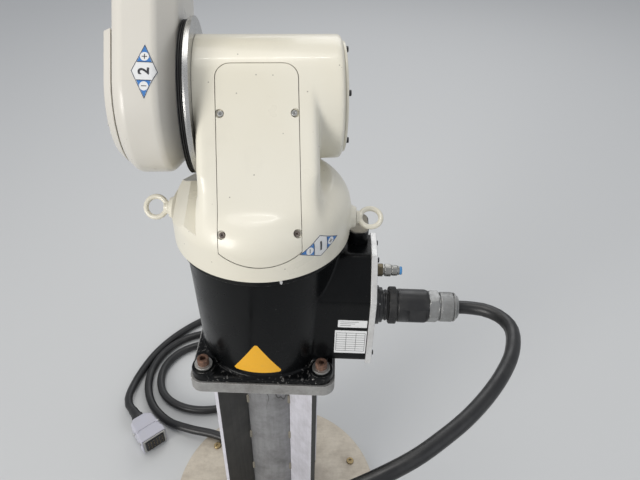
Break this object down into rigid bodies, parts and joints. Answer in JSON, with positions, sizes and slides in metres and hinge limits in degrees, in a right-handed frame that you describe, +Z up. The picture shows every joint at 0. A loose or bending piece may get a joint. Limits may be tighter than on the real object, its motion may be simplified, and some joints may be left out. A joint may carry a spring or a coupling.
{
  "type": "industrial robot arm on pedestal",
  "caption": "Compact jointed robot arm on a welded steel pedestal, with turning base, shoulder, elbow, rolling forearm, wrist and tool flange, and its control harness.",
  "frame": {"origin": "centre of the round foot plate's underside, on the floor", "axes": "+Z up along the column and joint 1; +X from the column towards the connector box; +Y away from the side that the picture shows, roughly where the forearm points at rest"},
  "size_m": [0.6776, 0.9478, 1.1378],
  "materials": {
    "cream_paint": "cream-white enamel, slightly yellowed, satin",
    "black_paint": "black enamel on castings, scuffed to bare metal at edges",
    "bare_steel": "ground steel plate and tube with scratches and light rust",
    "dark_steel": "hot-rolled flat bar with bright outer edges",
    "aluminium": "machined, fine turned lines",
    "rusty_bolt": "socket screw rusted in its head, bright washer",
    "nickel": "nickel-plated brass",
    "black_rubber": "matt black rubber",
    "black_plastic": "moulded black plastic",
    "grey_hood": "grey-lavender powder-coated hood"
  },
  "bodies": {
    "base": {"foot_plate": "bare_steel", "column_tube": "bare_steel", "column_fin_1": "dark_steel", "column_fin_2": "dark_steel", "column_fin_3": "dark_steel", "column_fin_4": "dark_steel", "top_plate": "bare_steel", "base_casting": "black_paint", "base_bolt_1": "rusty_bolt", "base_bolt_2": "rusty_bolt", "base_bolt_3": "rusty_bolt", "base_bolt_4": "rusty_bolt", "base_ring": "bare_steel", "rear_block": "black_paint", "connector_panel": "aluminium", "round_receptacle": "black_plastic", "harness_plug": "black_plastic", "cable_gland": "nickel", "air_fitting": "nickel", "harness_cable": "black_rubber", "harness_hood": "grey_hood", "harness_insert": "black_plastic"},
    "turret": {"turret_casting": "cream_paint", "turret_cover": "cream_paint", "shoulder_end_cap": "cream_paint", "shoulder_ring": "aluminium", "eye_bolt_left": "cream_paint", "eye_bolt_right": "cream_paint"},
    "link": {"link_casting": "cream_paint", "link_cover": "cream_paint", "link_seal": "black_rubber"},
    "elbow": {"elbow_housing": "cream_paint", "elbow_seal": "black_rubber", "elbow_side_cap": "cream_paint", "forearm_rear_cap": "cream_paint", "forearm_ring": "black_rubber"},
    "forearm": {"forearm_fork": "cream_paint", "fork_cap_left": "cream_paint", "fork_cap_right": "cream_paint"},
    "wrist": {"wrist_body": "cream_paint"},
    "flange": {"tool_flange": "bare_steel"}
  },
  "joints": [
    {"name": "joint_1_turn", "type": "hinge", "parent": "base", "child": "turret", "pos_m": [0, 0, 0.652], "axis": [0, 0, -1], "range_deg": [-255, 85]},
    {"name": "joint_2_shoulder", "type": "hinge", "parent": "turret", "child": "link", "pos_m": [-0.00654, 0.07472, 0.787], "axis": [-0.9962, -0.0872, 0], "range_deg": [-138, 97]},
    {"name": "joint_3_elbow", "type": "hinge", "parent": "link", "child": "elbow", "pos_m": [-0.02102, 0.24031, 0.99976], "axis": [0.9962, 0.0872, 0], "range_deg": [-113, 171]},
    {"name": "joint_4_roll", "type": "hinge", "parent": "elbow", "child": "forearm", "pos_m": [-0.02102, 0.24031, 1.08976], "axis": [-0.0872, 0.9962, 0], "range_deg": [-190, 190]},
    {"name": "joint_5_bend", "type": "hinge", "parent": "forearm", "child": "wrist", "pos_m": [-0.04673, 0.53419, 1.08976], "axis": [0.9962, 0.0872, 0], "range_deg": [-120, 120]},
    {"name": "joint_6_spin", "type": "hinge", "parent": "wrist", "child": "flange", "pos_m": [-0.05371, 0.61388, 1.08976], "axis": [-0.0872, 0.9962, 0], "range_deg": [-358, 358]}
  ]
}
